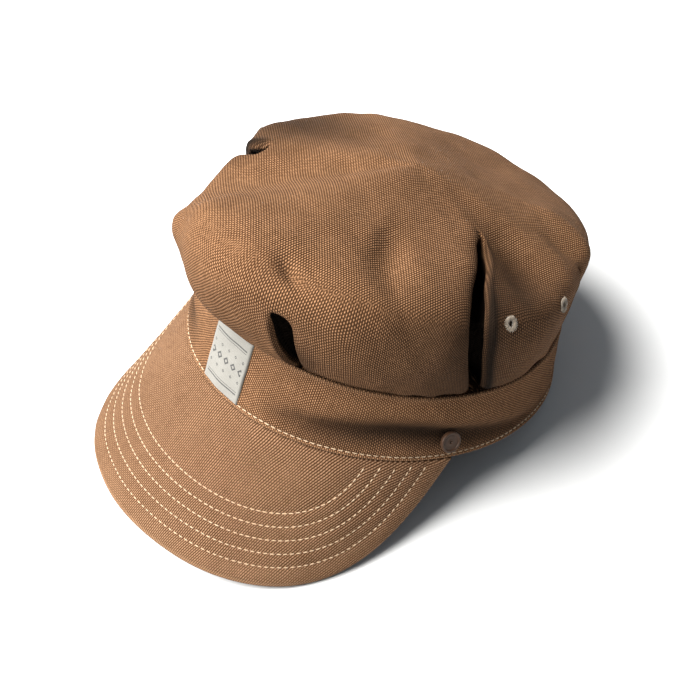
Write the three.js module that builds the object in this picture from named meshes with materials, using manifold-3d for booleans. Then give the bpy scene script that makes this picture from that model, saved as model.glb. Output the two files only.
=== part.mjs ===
// Railroad engineer cap in heavy canvas: pleated one-piece crown, upright band, stitched visor.
// Millimetres, +Z up. The wearer looks along -Y and the wearer's left is +X.
// A bearing is an angle round the head, 0 at the front and positive towards the wearer's left.
// Every piece is shaped in the band's own frame, with the hem flat at height 0.
// At the end the whole cap is tipped back until it stands on its visor and the rear of its hem.
import * as THREE from 'three';
import { mergeVertices } from 'three/addons/utils/BufferGeometryUtils.js';
import Module from 'manifold-3d';

const wasm = await Module();
wasm.setup();

// Band
const hemHalfWidth = 87.7;
const hemHalfLength = 96.8;
const seamHalfWidth = 87.2;
const seamHalfLength = 90.6;
const hemShift = -1.2;
const seamShift = -4.2;
const bandHeight = 38;
const bandWall = 2.4;
const bandCreaseDepth = 2.4;

// Crown
const crownWall = 1.6;
const crownTuck = 8;
const frontReach = 30;
const frontRise = 70;
const domeRise = 67.2;
const domeShift = 2;
const pleatDepth = 15;
const pleatWidth = 15;
const dentDepth = 6;
const ventDiameter = 2.4;

// Visor
const visorLength = 73.2;
const visorHalfAngle = 76.5;
const visorSlope = 54.2;
const visorDroop = 26.4;
const visorThickness = 3.2;
const visorFan = 0.83;
const visorCornerPower = 3.93;
const visorCornerEase = 1.08;

// Trim
const labelWidth = 28;
const labelThickness = 0.7;
const labelMargin = 2.5;
const buttonDiameter = 10.5;
const buttonThickness = 2.6;
const buttonRimWidth = 1.1;
const buttonRimHeight = 0.5;
const buttonBearing = 74;
const buttonHeight = 10.8;
const buttonShank = 1.1;
const eyeletDiameter = 7.6;
const eyeletThickness = 0.9;

// Sewn pieces stand this far apart
const clearance = 0.3;

// Crown plan: reach past the seam as a share of frontReach, height as a share of frontRise
const crownPlan = [
  { bearing: -150, reach: 0.42, rise: 0.51 },
  { bearing: -120, reach: 0.13, rise: 0.61 },
  { bearing: -90, reach: 0.10, rise: 0.61 },
  { bearing: -60, reach: -0.10, rise: 0.71 },
  { bearing: -30, reach: 0.38, rise: 0.67 },
  { bearing: 0, reach: 1.00, rise: 1.00 },
  { bearing: 30, reach: 0.69, rise: 0.97 },
  { bearing: 60, reach: 0.42, rise: 0.85 },
  { bearing: 90, reach: 0.28, rise: 0.75 },
  { bearing: 120, reach: 0.02, rise: 0.72 },
  { bearing: 150, reach: 0.22, rise: 0.61 },
  { bearing: 180, reach: 0.43, rise: 0.49 },
];

// Crown section from the seam, climb 0, to the middle of the top, climb 1
const crownSection = [
  { climb: 0.00, rise: 0.000, reach: 0.00, spread: 1.00 },
  { climb: 0.10, rise: 0.130, reach: 0.45, spread: 1.00 },
  { climb: 0.22, rise: 0.340, reach: 0.82, spread: 1.00 },
  { climb: 0.34, rise: 0.560, reach: 1.00, spread: 1.00 },
  { climb: 0.45, rise: 0.760, reach: 0.98, spread: 1.00 },
  { climb: 0.54, rise: 0.885, reach: 0.86, spread: 0.97 },
  { climb: 0.63, rise: 0.950, reach: 0.68, spread: 0.87 },
  { climb: 0.76, rise: 0.985, reach: 0.42, spread: 0.63 },
  { climb: 0.88, rise: 1.000, reach: 0.20, spread: 0.33 },
  { climb: 1.00, rise: 1.000, reach: 0.00, spread: 0.00 },
];

// Pleats run up from the seam. Depth and width are shares of pleatDepth and pleatWidth.
// The fold's bearing is given at the seam, low and high on its way, and at its top, a climb of its own.
// Hand 1 has its crisp lip on the side of the rising bearing.
const pleats = [
  { seam: 23.5, low: 22.3, high: 21, end: 20, top: 0.41, depth: 0.85, width: 1.00, hand: -1 },
  { seam: 81, low: 70, high: 75.8, end: 92.5, top: 0.81, depth: 1.00, width: 1.00, hand: 1 },
  { seam: 130, low: 128, high: 125, end: 124, top: 0.56, depth: 0.45, width: 1.10, hand: -1 },
  { seam: -130, low: -128, high: -125, end: -124, top: 0.56, depth: 0.45, width: 1.10, hand: 1 },
  { seam: -74, low: -67, high: -60, end: -57, top: 0.66, depth: 0.90, width: 1.10, hand: -1 },
  { seam: -26, low: -24, high: -22, end: -21, top: 0.42, depth: 0.80, width: 1.00, hand: 1 },
];
const pleatPull = 22;

// Section across a pleat: side as a share of its width, depth as a share of its depth
const pleatSection = [
  { side: -0.90, depth: 0.00 },
  { side: -0.42, depth: 0.06 },
  { side: -0.20, depth: 0.30 },
  { side: -0.14, depth: 1.00 },
  { side: 0.04, depth: 1.00 },
  { side: 0.14, depth: 0.30 },
  { side: 0.18, depth: 0.00 },
  { side: 0.80, depth: 0.00 },
];

// Soft dents and ridges: depth as a share of dentDepth, a ridge below zero
const dents = [
  { bearing: -21, climb: 0.41, across: 7, along: 0.08, depth: -0.7 },
  { bearing: -11, climb: 0.58, across: 7, along: 0.07, depth: -0.4 },
  { bearing: -38, climb: 0.56, across: 10, along: 0.12, depth: 0.25 },
  { bearing: -76, climb: 0.54, across: 8, along: 0.10, depth: -0.25 },
  { bearing: 20, climb: 0.54, across: 6, along: 0.07, depth: 0.4 },
  { bearing: 41, climb: 0.69, across: 8, along: 0.09, depth: 0.5 },
  { bearing: 99, climb: 0.73, across: 11, along: 0.09, depth: 0.9 },
  { bearing: 126, climb: 0.60, across: 6, along: 0.10, depth: 0.5 },
];

// Crease along each side of the band: its height as a share of the band, its strength from 0 to 1
const bandCrease = [
  { bearing: 15, height: 0.34, strength: 0.0 },
  { bearing: 35, height: 0.43, strength: 0.7 },
  { bearing: 60, height: 0.56, strength: 1.0 },
  { bearing: 80, height: 0.44, strength: 0.9 },
  { bearing: 105, height: 0.24, strength: 0.5 },
  { bearing: 125, height: 0.20, strength: 0.0 },
];

// Stitched ventilation eyelets, two in each side of the crown; the right side has slumped lower
const eyelets = [
  { place: 'left_front', bearing: 88.7, climb: 0.52 },
  { place: 'left_rear', bearing: 107.3, climb: 0.485 },
  { place: 'right_front', bearing: -86, climb: 0.46 },
  { place: 'right_rear', bearing: -107, climb: 0.44 },
];

const radians = THREE.MathUtils.degToRad;
const mix = THREE.MathUtils.lerp;
const ease = THREE.MathUtils.smoothstep;
const bell = (x) => Math.exp(-x * x);

// Smooth reading of one column of a table whose rows rise in their key column
function read(rows, key, column, at) {
  const last = rows.length - 1;
  const x = THREE.MathUtils.clamp(at, rows[0][key], rows[last][key]);
  let i = 0;
  while (i < last - 1 && x > rows[i + 1][key]) i += 1;
  const slope = (j) => {
    const low = rows[Math.max(j - 1, 0)];
    const high = rows[Math.min(j + 1, last)];
    return (high[column] - low[column]) / (high[key] - low[key]);
  };
  const span = rows[i + 1][key] - rows[i][key];
  const u = (x - rows[i][key]) / span;
  const ends = mix(rows[i][column], rows[i + 1][column], u * u * (3 - 2 * u));
  const leave = slope(i) * span * u * (1 - u) * (1 - u);
  const arrive = slope(i + 1) * span * u * u * (1 - u);
  return ends + leave - arrive;
}

// The plan table repeated once on each side, so that a reading near 180 degrees is smooth
const wrappedPlan = [-360, 0, 360].flatMap((turn) =>
  crownPlan.map((row) => ({ ...row, bearing: row.bearing + turn })));

// Signed difference of two bearings, between -180 and 180
const turnBetween = (a, b) => THREE.MathUtils.euclideanModulo(a - b + 180, 360) - 180;

// Outward push of the band's cloth at its creases
function creasePush(bearing, share) {
  const side = Math.abs(turnBetween(bearing, 0));
  const strength = read(bandCrease, 'bearing', 'strength', side);
  const above = share - read(bandCrease, 'bearing', 'height', side);
  const hollow = bell((above + 0.10) / 0.13);
  const roll = bell((above - 0.20) / 0.18);
  return bandCreaseDepth * Math.max(strength, 0) * (0.5 * roll - hollow);
}

// Point of the band's cloth, share 0 at the hem and 1 at the seam, inset from the outer face
function bandPoint(bearing, share, inset) {
  const push = creasePush(bearing, share) * ease(share, 0, 0.15) * (1 - ease(share, 0.8, 1)) - inset;
  const halfWidth = mix(hemHalfWidth, seamHalfWidth, share) + push;
  const halfLength = mix(hemHalfLength, seamHalfLength, share) + push;
  const angle = radians(bearing);
  return new THREE.Vector3(
    halfWidth * Math.sin(angle),
    mix(hemShift, seamShift, share) - halfLength * Math.cos(angle),
    bandHeight * share,
  );
}

// Crown surface before it is pleated; climb below 0 is the margin tucked inside the band
function smoothCrown(bearing, climb) {
  const inset = bandWall + clearance;
  if (climb < 0) return bandPoint(bearing, 1 + climb * crownTuck / bandHeight, inset);
  const angle = radians(bearing);
  const rise = read(crownSection, 'climb', 'rise', climb);
  const reach = read(crownSection, 'climb', 'reach', climb);
  const spread = read(crownSection, 'climb', 'spread', climb);
  const overhang = frontReach * read(wrappedPlan, 'bearing', 'reach', bearing);
  const shoulder = frontRise * read(wrappedPlan, 'bearing', 'rise', bearing);
  const out = (overhang + inset) * reach - inset * Math.min(1, spread + reach);
  return new THREE.Vector3(
    (seamHalfWidth * spread + out) * Math.sin(angle),
    seamShift + domeShift * (1 - spread) - (seamHalfLength * spread + out) * Math.cos(angle),
    bandHeight + mix(domeRise, shoulder, spread) * rise,
  );
}

function crownNormal(bearing, climb) {
  const low = Math.min(Math.max(climb, 0.02), 0.98);
  const around = smoothCrown(bearing + 1, low).sub(smoothCrown(bearing - 1, low));
  const up = smoothCrown(bearing, low + 0.01).sub(smoothCrown(bearing, low - 0.01));
  return around.cross(up).normalize();
}

// A pleat is deepest above the seam and dies out at its top
function pleatReach(pleat, climb) {
  return ease(climb, -0.3, 0.12) * (1 - ease(climb, pleat.top - 0.22, pleat.top));
}

// Bearing that a pleat has drifted from its place at the seam
function pleatDrift(pleat, climb) {
  const path = [
    { climb: 0, bearing: pleat.seam },
    { climb: 0.45 * pleat.top, bearing: pleat.low },
    { climb: 0.80 * pleat.top, bearing: pleat.high },
    { climb: pleat.top, bearing: pleat.end },
  ];
  return (read(path, 'climb', 'bearing', climb) - pleat.seam) * (1 - ease(climb, pleat.top, 1));
}

// Cloth near a pleat is drawn along with it
function drawnBearing(bearing, climb) {
  let drawn = bearing;
  for (const pleat of pleats) {
    drawn += pleatDrift(pleat, climb) * bell(turnBetween(bearing, pleat.seam) / pleatPull);
  }
  return drawn;
}

function dentAt(bearing, climb) {
  let depth = 0;
  for (const dent of dents) {
    const across = turnBetween(bearing, dent.bearing) / dent.across;
    depth += dent.depth * bell(across) * bell((climb - dent.climb) / dent.along);
  }
  return dentDepth * depth;
}

// Point of the crown's outer face in one column of cloth
function crownPoint(column, climb) {
  const pleat = column.pleat;
  const bearing = drawnBearing(column.bearing, climb);
  const fold = pleat ? pleatDepth * pleat.depth * column.depth * pleatReach(pleat, climb) : 0;
  const depth = fold + (climb > 0 ? dentAt(bearing, climb) : 0);
  return smoothCrown(bearing, climb).addScaledVector(crownNormal(bearing, climb), -depth);
}

// Columns of cloth round the crown: the section of each pleat, each eyelet, and plain columns between
function crownColumns(plainSpacing) {
  const degreesPerMillimetre = 180 / (Math.PI * seamHalfLength);
  const columns = [];
  for (const pleat of pleats) {
    for (const row of pleatSection) {
      const side = row.side * pleat.hand * pleat.width * pleatWidth;
      columns.push({ bearing: pleat.seam + side * degreesPerMillimetre, depth: row.depth, pleat });
    }
  }
  for (const eyelet of eyelets) columns.push({ bearing: eyelet.bearing });
  columns.sort((a, b) => a.bearing - b.bearing);
  const filled = [];
  columns.forEach((column, i) => {
    const next = columns[(i + 1) % columns.length];
    const gap = THREE.MathUtils.euclideanModulo(next.bearing - column.bearing, 360);
    filled.push(column);
    if (column.pleat && next.pleat === column.pleat) return;
    const steps = Math.ceil(gap / plainSpacing);
    for (let k = 1; k < steps; k += 1) filled.push({ bearing: column.bearing + gap * k / steps });
  });
  return filled;
}

// Closed mesh from a list of points and triangles
function closedGeometry(points, triangles) {
  const geometry = new THREE.BufferGeometry();
  geometry.setAttribute('position', new THREE.Float32BufferAttribute(points.flatMap((p) => p.toArray()), 3));
  geometry.setIndex(triangles);
  geometry.computeVertexNormals();
  return geometry;
}

// Each point of a grid moved inwards by the cloth's thickness, squared up where the cloth is folded
function offsetGrid(grid, thickness, wraps) {
  const rows = grid.length;
  const cols = grid[0].length;
  return grid.map((row, i) => row.map((point, j) => {
    const faces = [];
    for (const di of [-1, 0]) {
      for (const dj of [-1, 0]) {
        const low = i + di;
        const left = wraps ? (j + dj + cols) % cols : j + dj;
        const right = wraps ? (left + 1) % cols : left + 1;
        if (low < 0 || low + 1 >= rows || left < 0 || right >= cols) continue;
        const across = grid[low][right].clone().sub(grid[low + 1][left]);
        const up = grid[low + 1][right].clone().sub(grid[low][left]);
        const normal = across.cross(up);
        if (normal.lengthSq() > 1e-9) faces.push(normal.normalize());
      }
    }
    const mean = faces.reduce((sum, n) => sum.add(n), new THREE.Vector3()).normalize();
    const squareness = Math.min(...faces.map((n) => n.dot(mean)));
    return point.clone().addScaledVector(mean, -thickness / Math.max(squareness, 0.6));
  }));
}

// Shell between two grids that close round the head; a capped grid also closes over a top point
function ringShell(outer, inner, tops) {
  const rows = outer.length;
  const cols = outer[0].length;
  const points = [...outer.flat(), ...inner.flat(), ...(tops ?? [])];
  const at = (skin, i, j) => skin * rows * cols + i * cols + (j % cols);
  const triangles = [];
  const quad = (a, b, c, d) => triangles.push(a, b, c, a, c, d);
  for (let j = 0; j < cols; j += 1) {
    for (let i = 0; i + 1 < rows; i += 1) {
      quad(at(0, i, j), at(0, i, j + 1), at(0, i + 1, j + 1), at(0, i + 1, j));
      quad(at(1, i, j + 1), at(1, i, j), at(1, i + 1, j), at(1, i + 1, j + 1));
    }
    quad(at(1, 0, j), at(1, 0, j + 1), at(0, 0, j + 1), at(0, 0, j));
    const last = rows - 1;
    if (tops) {
      triangles.push(at(0, last, j), at(0, last, j + 1), 2 * rows * cols);
      triangles.push(at(1, last, j + 1), at(1, last, j), 2 * rows * cols + 1);
    } else {
      quad(at(0, last, j), at(0, last, j + 1), at(1, last, j + 1), at(1, last, j));
    }
  }
  return closedGeometry(points, triangles);
}

// Plate between two open grids of the same size
function plate(upper, lower) {
  const rows = upper.length;
  const cols = upper[0].length;
  const points = [...upper.flat(), ...lower.flat()];
  const at = (skin, i, j) => skin * rows * cols + i * cols + j;
  const triangles = [];
  const quad = (a, b, c, d) => triangles.push(a, b, c, a, c, d);
  for (let i = 0; i + 1 < rows; i += 1) {
    for (let j = 0; j + 1 < cols; j += 1) {
      quad(at(0, i, j), at(0, i, j + 1), at(0, i + 1, j + 1), at(0, i + 1, j));
      quad(at(1, i, j + 1), at(1, i, j), at(1, i + 1, j), at(1, i + 1, j + 1));
    }
    quad(at(1, i, 0), at(0, i, 0), at(0, i + 1, 0), at(1, i + 1, 0));
    quad(at(0, i, cols - 1), at(1, i, cols - 1), at(1, i + 1, cols - 1), at(0, i + 1, cols - 1));
  }
  for (let j = 0; j + 1 < cols; j += 1) {
    quad(at(1, 0, j), at(1, 0, j + 1), at(0, 0, j + 1), at(0, 0, j));
    quad(at(0, rows - 1, j), at(0, rows - 1, j + 1), at(1, rows - 1, j + 1), at(1, rows - 1, j));
  }
  return closedGeometry(points, triangles);
}

function toSolid(geometry) {
  const bare = geometry.clone();
  bare.deleteAttribute('normal');
  bare.deleteAttribute('uv');
  const merged = mergeVertices(bare, 1e-4);
  return new wasm.Manifold(new wasm.Mesh({
    numProp: 3,
    vertProperties: new Float32Array(merged.attributes.position.array),
    triVerts: new Uint32Array(merged.index.array),
  }));
}

function fromSolid(solid) {
  const mesh = solid.getMesh();
  const geometry = new THREE.BufferGeometry();
  geometry.setAttribute('position', new THREE.BufferAttribute(mesh.vertProperties, 3));
  geometry.setIndex(new THREE.BufferAttribute(mesh.triVerts, 1));
  geometry.computeVertexNormals();
  return geometry;
}

// Place on the crown where an eyelet is worked, with the direction that it faces
function eyeletSeat(eyelet) {
  const at = (turn, climb) => crownPoint({ bearing: eyelet.bearing + turn }, eyelet.climb + climb);
  const normal = at(2, 0).sub(at(-2, 0)).cross(at(0, 0.02).sub(at(0, -0.02))).normalize();
  return { point: at(0, 0), normal };
}

// Turns a shape whose own axis is +Y to face along a direction
function facing(geometry, seat, lift) {
  const turn = new THREE.Quaternion().setFromUnitVectors(new THREE.Vector3(0, 1, 0), seat.normal);
  const place = seat.point.clone().addScaledVector(seat.normal, lift);
  return geometry.applyQuaternion(turn).translate(place.x, place.y, place.z);
}

const crownClimbs = [
  -1, -0.35, 0, 0.05, 0.12, 0.2, 0.28, 0.36, 0.42, 0.46, 0.49, 0.52, 0.56, 0.61, 0.68, 0.76, 0.86, 0.94,
];
const crownPlainSpacing = 7.5;

function makeCrown() {
  const columns = crownColumns(crownPlainSpacing);
  const outer = crownClimbs.map((climb) => columns.map((column) => crownPoint(column, climb)));
  const inner = offsetGrid(outer, crownWall, true);
  const top = smoothCrown(0, 1);
  const tops = [top, top.clone().setZ(top.z - crownWall)];
  let solid = toSolid(ringShell(outer, inner, tops));
  for (const eyelet of eyelets) {
    const drill = new THREE.CylinderGeometry(ventDiameter / 2, ventDiameter / 2, 8 * crownWall, 10);
    solid = solid.subtract(toSolid(facing(drill, eyeletSeat(eyelet), 0)));
  }
  return fromSolid(solid);
}

function makeBand() {
  const shares = [0, 0.08, 0.2, 0.32, 0.44, 0.56, 0.68, 0.82, 1];
  const sides = 72;
  const bearings = Array.from({ length: sides }, (_, j) => 360 * j / sides);
  const skin = (inset) => shares.map((share) => bearings.map((bearing) => bandPoint(bearing, share, inset)));
  return ringShell(skin(0), skin(bandWall));
}

// Point of the visor's upper face: along 0 at the hem, 1 at the edge; across -1 to 1
function visorPoint(across, along, depth) {
  const angle = radians(across * visorHalfAngle);
  const root = new THREE.Vector3(hemHalfWidth * Math.sin(angle), hemShift - hemHalfLength * Math.cos(angle), -clearance);
  const forward = new THREE.Vector3(
    visorFan * Math.sin(angle),
    -visorFan * Math.cos(angle) - (1 - visorFan),
    0,
  ).normalize();
  const slope = radians(visorSlope + visorDroop * across * across);
  const reach = visorLength * (1 - Math.abs(across) ** visorCornerPower) ** visorCornerEase;
  const down = new THREE.Vector3(0, 0, -1);
  const path = forward.clone().multiplyScalar(Math.cos(slope)).addScaledVector(down, Math.sin(slope));
  const inward = forward.multiplyScalar(-Math.sin(slope)).addScaledVector(down, Math.cos(slope));
  const flush = depth * (1 - Math.min(1, along * 8));
  const point = root.addScaledVector(path, reach * along).addScaledVector(inward, depth);
  point.z += flush * Math.cos(slope);
  return point;
}

function makeVisor() {
  const columns = 44;
  const alongs = [0, 0.12, 0.28, 0.44, 0.6, 0.76, 0.9, 1];
  const acrosses = Array.from({ length: columns + 1 }, (_, j) => Math.sin(Math.PI * (j / columns - 0.5)));
  const face = (depth) => alongs.map((along) => acrosses.slice(1, -1).map((across) => visorPoint(across, along, depth)));
  return plate(face(visorThickness), face(0));
}

function makeLabel() {
  const half = labelWidth / 2 / hemHalfLength * 180 / Math.PI;
  const columns = 8;
  const bearings = Array.from({ length: columns + 1 }, (_, j) => mix(-half, half, j / columns));
  const low = labelMargin / bandHeight;
  const shares = [low, 0.35, 0.65, 1 - 0.4 * low];
  const face = (lift) => shares.map((share) => bearings.map((bearing) => bandPoint(bearing, share, -lift)));
  return plate(face(clearance + labelThickness), face(clearance));
}

function makeButton(side) {
  const radius = buttonDiameter / 2;
  const web = buttonThickness - buttonRimHeight;
  const profile = [
    [0, 0],
    [radius * 0.8, 0],
    [radius, web * 0.5],
    [radius, web + buttonRimHeight * 0.4],
    [radius - buttonRimWidth * 0.5, buttonThickness],
    [radius - buttonRimWidth, web],
    [0, web],
  ].map(([x, y]) => new THREE.Vector2(x, y));
  const shape = mergeVertices(new THREE.LatheGeometry(profile, 20));
  const share = buttonHeight / bandHeight;
  const bearing = buttonBearing * side;
  const point = bandPoint(bearing, share, 0);
  const around = bandPoint(bearing + 2, share, 0).sub(bandPoint(bearing - 2, share, 0));
  const up = bandPoint(bearing, share + 0.05, 0).sub(bandPoint(bearing, share - 0.05, 0));
  return facing(shape, { point, normal: around.cross(up).normalize() }, buttonShank);
}

function makeEyelet(eyelet) {
  const outside = eyeletDiameter / 2;
  const inside = ventDiameter / 2;
  const middle = (outside + inside) / 2;
  const profile = [
    [inside, 0],
    [outside, 0],
    [outside, eyeletThickness * 0.5],
    [middle, eyeletThickness],
    [inside, eyeletThickness * 0.6],
    [inside, 0],
  ].map(([x, y]) => new THREE.Vector2(x, y));
  return facing(new THREE.LatheGeometry(profile, 16), eyeletSeat(eyelet), 2 * clearance);
}

const canvas = () => new THREE.MeshStandardMaterial({ color: 0x8a5f3c, roughness: 0.92, metalness: 0 });
const wovenLabel = () => new THREE.MeshStandardMaterial({ color: 0xe9e4d6, roughness: 0.85, metalness: 0 });
const buttonResin = () => new THREE.MeshStandardMaterial({ color: 0x6d472c, roughness: 0.45, metalness: 0 });
const thread = () => new THREE.MeshStandardMaterial({ color: 0xd9c19a, roughness: 0.8, metalness: 0 });

const cap = new THREE.Group();

function addPiece(name, geometry, material) {
  const mesh = new THREE.Mesh(geometry, material);
  mesh.name = name;
  cap.add(mesh);
}

addPiece('crown', makeCrown(), canvas());
addPiece('band', makeBand(), canvas());
addPiece('visor', makeVisor(), canvas());
addPiece('label', makeLabel(), wovenLabel());
addPiece('button_left', makeButton(1), buttonResin());
addPiece('button_right', makeButton(-1), buttonResin());
for (const eyelet of eyelets) addPiece(`eyelet_${eyelet.place}`, makeEyelet(eyelet), thread());

// Lowest height of one piece after the cap is tipped back by an angle
function lowestPoint(name, tip) {
  const position = cap.getObjectByName(name).geometry.attributes.position;
  let lowest = Infinity;
  for (let i = 0; i < position.count; i += 1) {
    const height = position.getZ(i) * Math.cos(tip) - position.getY(i) * Math.sin(tip);
    lowest = Math.min(lowest, height);
  }
  return lowest;
}

// Tip back until the visor and the rear of the hem reach the same level
function restingTip() {
  let low = 0;
  let high = Math.PI / 3;
  for (let i = 0; i < 40; i += 1) {
    const middle = (low + high) / 2;
    if (lowestPoint('visor', middle) < lowestPoint('band', middle)) low = middle;
    else high = middle;
  }
  return (low + high) / 2;
}

cap.rotation.x = -restingTip();
cap.updateMatrixWorld(true);
const box = new THREE.Box3().setFromObject(cap, true);
cap.position.set(-(box.min.x + box.max.x) / 2, -(box.min.y + box.max.y) / 2, -box.min.z);

const model = new THREE.Group();
model.add(cap);

export default model;
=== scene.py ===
import math
from collections import namedtuple
from functools import partialmethod

import bpy
import numpy as np
from mathutils import Matrix, Vector


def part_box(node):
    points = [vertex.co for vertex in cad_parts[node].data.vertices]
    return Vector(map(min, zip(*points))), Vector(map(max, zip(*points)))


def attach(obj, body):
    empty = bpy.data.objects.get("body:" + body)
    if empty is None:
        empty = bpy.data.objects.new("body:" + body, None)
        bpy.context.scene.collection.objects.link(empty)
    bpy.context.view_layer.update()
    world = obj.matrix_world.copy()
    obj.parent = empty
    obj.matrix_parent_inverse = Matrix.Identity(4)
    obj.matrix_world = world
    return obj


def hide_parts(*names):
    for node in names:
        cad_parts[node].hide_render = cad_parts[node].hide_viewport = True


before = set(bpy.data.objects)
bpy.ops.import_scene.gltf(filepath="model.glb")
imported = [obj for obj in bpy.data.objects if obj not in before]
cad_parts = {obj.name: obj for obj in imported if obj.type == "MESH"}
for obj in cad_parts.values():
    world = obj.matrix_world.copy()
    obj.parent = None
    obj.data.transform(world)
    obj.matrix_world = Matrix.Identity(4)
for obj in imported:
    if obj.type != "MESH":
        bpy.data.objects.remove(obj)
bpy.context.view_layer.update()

# Band
HEM_HALF_WIDTH = 87.7
HEM_HALF_LENGTH = 96.8
SEAM_HALF_WIDTH = 87.2
SEAM_HALF_LENGTH = 90.6
HEM_SHIFT = -1.2
SEAM_SHIFT = -4.2
BAND_HEIGHT = 38.0
BAND_WALL = 2.4
BAND_CREASE_DEPTH = 2.4
# the crease is this many times as deep here as in the part
CREASE_DEEPER = 1.35
CLEARANCE = 0.3

# Crown
CROWN_WALL = 1.4
FOLD_WALL = 0.45
CROWN_TUCK = 8.0
FRONT_REACH = 30.0
FRONT_RISE = 70.0
DOME_RISE = 67.2
DOME_SHIFT = 2.0
PLEAT_DEPTH = 15.0
PLEAT_WIDTH = 15.0
PLEAT_PULL = 22.0
DENT_DEPTH = 6.0
VENT_DIAMETER = 2.4

# Visor
VISOR_LENGTH = 73.2
VISOR_HALF_ANGLE = 76.5
VISOR_SLOPE = 54.2
VISOR_DROOP = 26.4
VISOR_THICKNESS = 3.2
VISOR_FAN = 0.83
VISOR_CORNER_POWER = 3.93
VISOR_CORNER_EASE = 1.08

# The tip that brings the visor and the rear of the hem to the floor together, in degrees
REST_TIP = 17.494188

# bearing, reach, rise
CROWN_PLAN = np.array([
    (-150, 0.42, 0.51), (-120, 0.13, 0.61), (-90, 0.10, 0.61), (-60, -0.10, 0.71),
    (-30, 0.38, 0.67), (0, 1.00, 1.00), (30, 0.69, 0.97), (60, 0.42, 0.85),
    (90, 0.28, 0.75), (120, 0.02, 0.72), (150, 0.22, 0.61), (180, 0.43, 0.49),
])
# climb, rise, reach, spread
CROWN_SECTION = np.array([
    (0.00, 0.000, 0.00, 1.00), (0.10, 0.130, 0.45, 1.00), (0.22, 0.340, 0.82, 1.00),
    (0.34, 0.560, 1.00, 1.00), (0.45, 0.760, 0.98, 1.00), (0.54, 0.885, 0.86, 0.97),
    (0.63, 0.950, 0.68, 0.87), (0.76, 0.985, 0.42, 0.63), (0.88, 1.000, 0.20, 0.33),
    (1.00, 1.000, 0.00, 0.00),
])
# The first eight are the part's: seam, low, high and end are bearings on the way up, and top is
# the climb where the pleat ends. seam_width is its width at the seam, fade the climb over which
# it dies out, and soft how far its soft side is drawn out.
Pleat = namedtuple("Pleat", "seam low high end top depth width hand seam_width fade soft")
PLEATS = [Pleat(*row) for row in (
    (24.0, 22.4, 20.9, 19.8, 0.385, 0.75, 0.54, -1, 0.60, 0.10, 2.4),
    (81, 71.6, 73.9, 92.2, 0.81, 1.00, 1.00, 1, 0.85, 0.025, 1.0),
    (130, 128, 125, 124, 0.56, 0.45, 1.10, -1, 1.00, 0.16, 1.0),
    (-130, -128, -125, -124, 0.56, 0.45, 1.10, 1, 1.00, 0.16, 1.0),
    (-74, -67, -60, -57, 0.66, 0.90, 1.10, -1, 0.85, 0.04, 1.0),
    (-26, -24, -22, -21, 0.42, 0.75, 0.80, 1, 0.50, 0.11, 1.9),
)]
# Section across a pleat: side where the cloth lies flat, side in the fold, depth. The cavity
# runs back under the lip, whose flank slopes up to a low roll.
PLEAT_SECTION = np.array([
    (-1.60, -1.60, 0.00), (-1.10, -1.10, 0.01), (-0.80, -0.80, 0.04), (-0.56, -0.56, 0.10),
    (-0.40, -0.40, 0.20), (-0.30, -0.29, 0.34), (-0.23, -0.24, 0.58), (-0.17, -0.20, 0.90),
    (-0.11, -0.12, 1.22), (-0.04, 0.10, 1.38), (0.00, 0.36, 1.32), (0.04, 0.52, 1.10),
    (0.07, 0.56, 0.84), (0.10, 0.46, 0.60), (0.125, 0.32, 0.42), (0.15, 0.20, 0.30),
    (0.17, 0.165, 0.22), (0.20, 0.19, 0.145), (0.24, 0.235, 0.06), (0.29, 0.29, -0.005),
    (0.36, 0.36, -0.035), (0.50, 0.50, -0.02), (0.80, 0.80, 0.01), (1.15, 1.15, 0.00),
])
# bearing, climb, across in degrees, along in climb, depth
DENTS = [
    (-21, 0.41, 7, 0.08, -0.7), (-11, 0.58, 7, 0.07, -0.4), (-38, 0.56, 10, 0.12, 0.25),
    (-76, 0.54, 8, 0.10, -0.25), (20, 0.54, 6, 0.07, 0.4), (41, 0.69, 8, 0.09, 0.5),
    (99, 0.73, 11, 0.09, 0.9), (126, 0.60, 6, 0.10, 0.5),
]
# bearing, climb, lean in degrees from level, half length, half width and depth in millimetres
WRINKLES = [
    (20.5, 0.53, -48, 10, 3.4, 2.6), (41.5, 0.69, -62, 16, 8.0, 2.2),
    (140, 0.62, 55, 26, 7.0, -2.4), (97, 0.66, 10, 20, 11, 2.0),
    (52, 0.44, -75, 20, 9.0, 1.6), (62, 0.40, -88, 22, 7.0, -1.6),
]
# the crown's size for the wrinkles, in millimetres for each degree round and for a whole climb
MM_PER_DEGREE = 1.75
MM_PER_CLIMB = 150.0
# the crown's cloth round its walls, in millimetres for each degree
ARC_PER_DEGREE = 1.85
# bearing, height, strength
BAND_CREASE = np.array([
    (15, 0.34, 0.0), (35, 0.43, 0.7), (60, 0.56, 1.0),
    (80, 0.44, 0.9), (105, 0.24, 0.5), (125, 0.20, 0.0),
])
# place, bearing, climb
EYELETS = [
    ("left_front", 88.7, 0.52), ("left_rear", 107.3, 0.485),
    ("right_front", -86, 0.46), ("right_rear", -107, 0.44),
]
# unevenness of the soft cloth: amount, seed and length of each layer of waves
CROWN_WAVES = ((0.55, 3, 46), (0.28, 5, 19))
BAND_WAVES = ((0.22, 21, 34), (0.10, 23, 13))
VISOR_WAVES = ((0.35, 31, 60), (0.12, 33, 17))
# gathers of the crown over the seam: amount, seed, length, and the climb that they reach
GATHER, GATHER_SEED, GATHER_LENGTH, GATHER_CLIMB = 0.7, 9, 15, 0.12


def mix(a, b, t):
    return a + (b - a) * t


def ease(x, low, high):
    u = np.clip((np.asarray(x, float) - low) / (high - low), 0, 1)
    return u * u * (3 - 2 * u)


def bell(x):
    return np.exp(-np.square(x))


def running(steps):
    return np.concatenate([[0], np.cumsum(steps)])


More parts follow.
